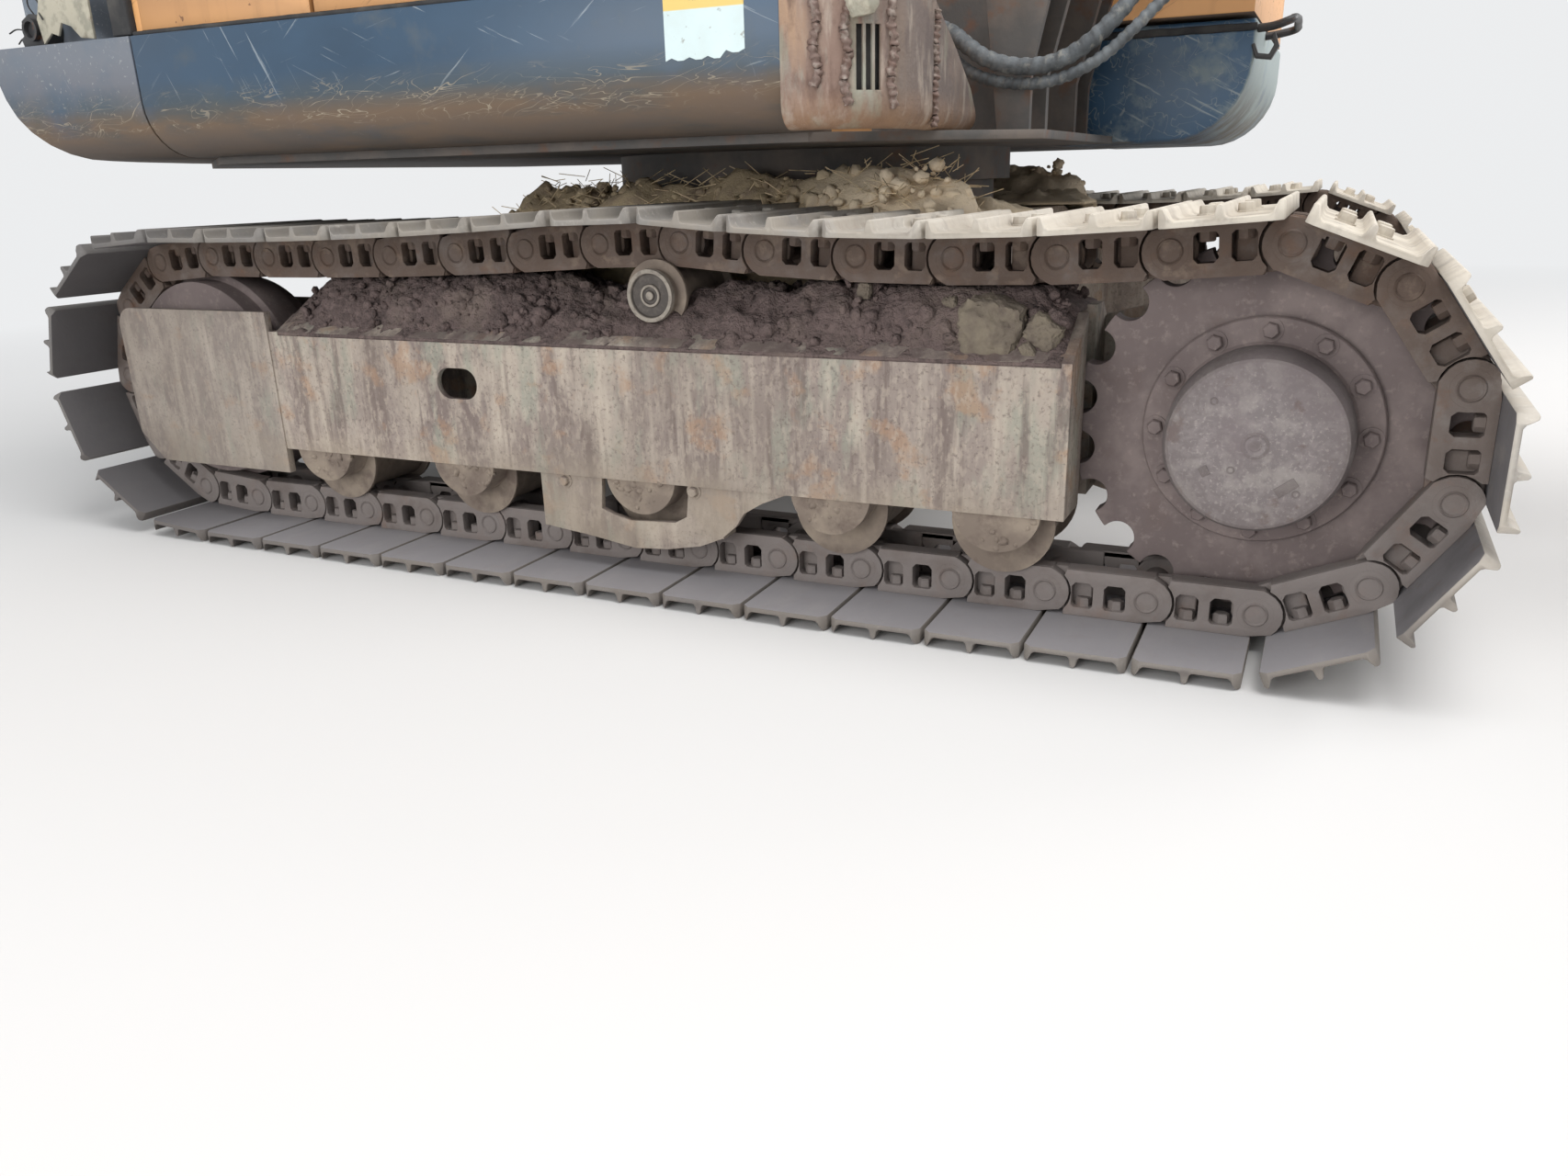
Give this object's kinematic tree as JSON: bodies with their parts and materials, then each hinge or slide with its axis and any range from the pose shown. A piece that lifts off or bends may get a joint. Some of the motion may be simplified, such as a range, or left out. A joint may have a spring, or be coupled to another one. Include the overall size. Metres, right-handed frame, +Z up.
{
  "type": "crawler excavator",
  "caption": "Compact excavator on steel tracks with a cab on the left, a one-piece boom, arm and bucket, parked with the arm curled in.",
  "frame": {"origin": "ground point under the middle of the overall box of the parked machine", "axes": "+X forward along the tracks and the boom, +Y to the machine's left (cab side), +Z up"},
  "size_m": [5.8195, 2, 2.68],
  "materials": {
    "shoe_steel": "worn bare steel with dust and rust",
    "frame_paint": "flat dark paint under dry brown dust",
    "rusted_steel": "rough rust",
    "cast_steel": "grey casting with rust spots",
    "dark_steel": "oily dark steel",
    "slate_paint": "faded satin slate paint with scratches",
    "rusted_paint": "rust through old orange paint",
    "orange_paint": "faded satin orange paint",
    "black_paint": "satin black",
    "rod_chrome": "polished",
    "window_glass": "clear, dusty",
    "seat_fabric": "worn",
    "hose_rubber": "dusty spiral guard over black rubber",
    "black_plastic": "matt"
  },
  "bodies": {
    "undercarriage": {"track_right": "shoe_steel", "track_left": "shoe_steel", "track_frame_right": "frame_paint", "track_frame_left": "frame_paint", "idlers": "frame_paint", "sprockets": "rusted_steel", "final_drives": "cast_steel", "bottom_rollers": "frame_paint", "carrier_rollers": "frame_paint", "roller_guards": "frame_paint", "car_body": "frame_paint", "swing_bearing": "dark_steel"},
    "house": {"swing_frame": "slate_paint", "counterweight": "slate_paint", "side_skirts": "slate_paint", "front_corner": "rusted_paint", "cab_base": "slate_paint", "tank_box": "orange_paint", "engine_hood": "orange_paint", "engine": "dark_steel", "cab_shell": "orange_paint", "cab_glass": "window_glass", "operator_seat": "seat_fabric", "control_console": "black_plastic", "handrails": "orange_paint", "side_mirror": "black_plastic", "exhaust": "rusted_steel", "work_lamps": "black_plastic", "boom_hose_base": "hose_rubber", "boom_hose_rod": "hose_rubber"},
    "service_door": {"service_door": "orange_paint"},
    "engine_door": {"engine_door": "orange_paint"},
    "left_door": {"left_door": "orange_paint"},
    "cab_door": {"cab_door": "orange_paint", "door_glass": "window_glass"},
    "boom": {"boom": "orange_paint"},
    "boom_cylinder_tubes": {"boom_cylinder_tubes": "black_paint"},
    "boom_cylinder_rods": {"boom_cylinder_rods": "rod_chrome"},
    "arm_cylinder_tube": {"arm_cylinder_tube": "black_paint"},
    "arm_cylinder_rod": {"arm_cylinder_rod": "rod_chrome"},
    "arm": {"arm": "orange_paint"},
    "bucket_cylinder_tube": {"bucket_cylinder_tube": "black_paint"},
    "bucket_cylinder_rod": {"bucket_cylinder_rod": "rod_chrome"},
    "side_links": {"side_links": "cast_steel"},
    "bucket_link": {"bucket_link": "cast_steel"},
    "bucket": {"bucket": "rusted_paint"}
  },
  "joints": [
    {"name": "swing", "type": "hinge", "parent": "undercarriage", "child": "house", "pos_m": [-1.25986, 0, 0.668], "axis": [0, 0, 1], "continuous": true},
    {"name": "service_door_hinge", "type": "hinge", "parent": "house", "child": "service_door", "pos_m": [-2.19486, -0.9395, 0.963], "axis": [0, 0, -1], "range_deg": [0, 90]},
    {"name": "engine_door_hinge", "type": "hinge", "parent": "house", "child": "engine_door", "pos_m": [-1.17486, -0.9395, 0.963], "axis": [0, 0, 1], "range_deg": [0, 90]},
    {"name": "left_door_hinge", "type": "hinge", "parent": "house", "child": "left_door", "pos_m": [-2.19486, 0.9395, 0.963], "axis": [0, 0, 1], "range_deg": [0, 90]},
    {"name": "cab_door_hinge", "type": "hinge", "parent": "house", "child": "cab_door", "pos_m": [-1.37986, 0.9595, 1.016], "axis": [0, 0, 1], "range_deg": [0, 140]},
    {"name": "boom_hinge", "type": "hinge", "parent": "house", "child": "boom", "pos_m": [-0.85986, -0.225, 1.24], "axis": [0, -1, 0], "range_deg": [-43, 67]},
    {"name": "boom_cylinder_hinge", "type": "hinge", "parent": "house", "child": "boom_cylinder_tubes", "pos_m": [-0.68486, -0.225, 1.005], "axis": [0, -1, 0], "range_deg": [-44, 68], "deforming": ["boom_hose_base", "boom_hose_rod"]},
    {"name": "boom_cylinder_slide", "type": "slide", "parent": "boom_cylinder_tubes", "child": "boom_cylinder_rods", "axis": [0.9228, 0, 0.3854], "range_m": [-0.18, 0.28]},
    {"name": "arm_hinge", "type": "hinge", "parent": "boom", "child": "arm", "pos_m": [2.51333, -0.225, 0.81387], "axis": [0, 1, 0], "range_deg": [-113, 0]},
    {"name": "arm_cylinder_hinge", "type": "hinge", "parent": "boom", "child": "arm_cylinder_tube", "pos_m": [0.79437, -0.225, 1.88778], "axis": [0, 1, 0], "range_deg": [-1, 5]},
    {"name": "arm_cylinder_slide", "type": "slide", "parent": "arm_cylinder_tube", "child": "arm_cylinder_rod", "axis": [0.9084, 0, -0.4181], "range_m": [-0.59, 0.01]},
    {"name": "bucket_hinge", "type": "hinge", "parent": "arm", "child": "bucket", "pos_m": [1.01991, -0.225, 0.18609], "axis": [0, 1, 0], "range_deg": [-155, 0]},
    {"name": "side_link_hinge", "type": "hinge", "parent": "arm", "child": "side_links", "pos_m": [1.30422, -0.225, 0.28391], "axis": [0, 1, 0], "range_deg": [-127, 1]},
    {"name": "bucket_link_hinge", "type": "hinge", "parent": "bucket", "child": "bucket_link", "pos_m": [0.76853, -0.225, 0.11968], "axis": [0, 1, 0], "range_deg": [-1, 125]},
    {"name": "bucket_cylinder_hinge", "type": "hinge", "parent": "arm", "child": "bucket_cylinder_tube", "pos_m": [2.39043, -0.225, 0.51271], "axis": [0, 1, 0], "range_deg": [-1, 3]},
    {"name": "bucket_cylinder_slide", "type": "slide", "parent": "bucket_cylinder_tube", "child": "bucket_cylinder_rod", "axis": [-0.9411, 0, -0.3381], "range_m": [-0.54, 0.01]}
  ],
  "couplings": [
    {"joint": "boom_cylinder_hinge", "follows": "boom_hinge", "ratio": 1.0037},
    {"joint": "boom_cylinder_slide", "follows": "boom_hinge", "m_per_rad": 0.23172},
    {"joint": "arm_cylinder_hinge", "follows": "arm_hinge", "ratio": -0.037752},
    {"joint": "arm_cylinder_slide", "follows": "arm_hinge", "m_per_rad": 0.2954},
    {"joint": "side_link_hinge", "follows": "bucket_hinge", "ratio": 0.81162},
    {"joint": "bucket_link_hinge", "follows": "bucket_hinge", "ratio": -0.79688},
    {"joint": "bucket_cylinder_hinge", "follows": "bucket_hinge", "ratio": -0.01392},
    {"joint": "bucket_cylinder_slide", "follows": "bucket_hinge", "m_per_rad": 0.19688}
  ]
}
